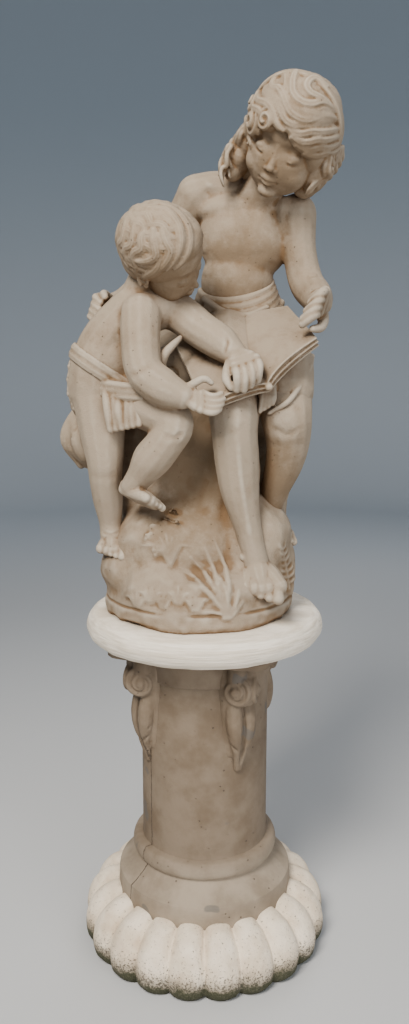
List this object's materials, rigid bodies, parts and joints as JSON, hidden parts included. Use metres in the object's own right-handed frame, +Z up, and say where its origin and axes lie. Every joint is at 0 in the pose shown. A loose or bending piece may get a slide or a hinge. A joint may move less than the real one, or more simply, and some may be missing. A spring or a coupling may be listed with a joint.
{
  "type": "garden statue on column",
  "caption": "Cast-stone garden group of a seated older child and a small child reading an open book, on a round slab over a column with scrolled corners and a lobed foot.",
  "frame": {"origin": "centre of the column's flat underside, on the column's axis", "axes": "+Z up along the column, the group's front faces -Y, +X to the right seen from the front"},
  "size_m": [0.4589, 0.4268, 1.4311],
  "materials": {
    "group_stone": "matte",
    "slab_stone": "matte",
    "column_stone": "matte"
  },
  "bodies": {
    "root": {"children_group": "group_stone", "top_slab": "slab_stone", "column": "column_stone"}
  },
  "joints": []
}
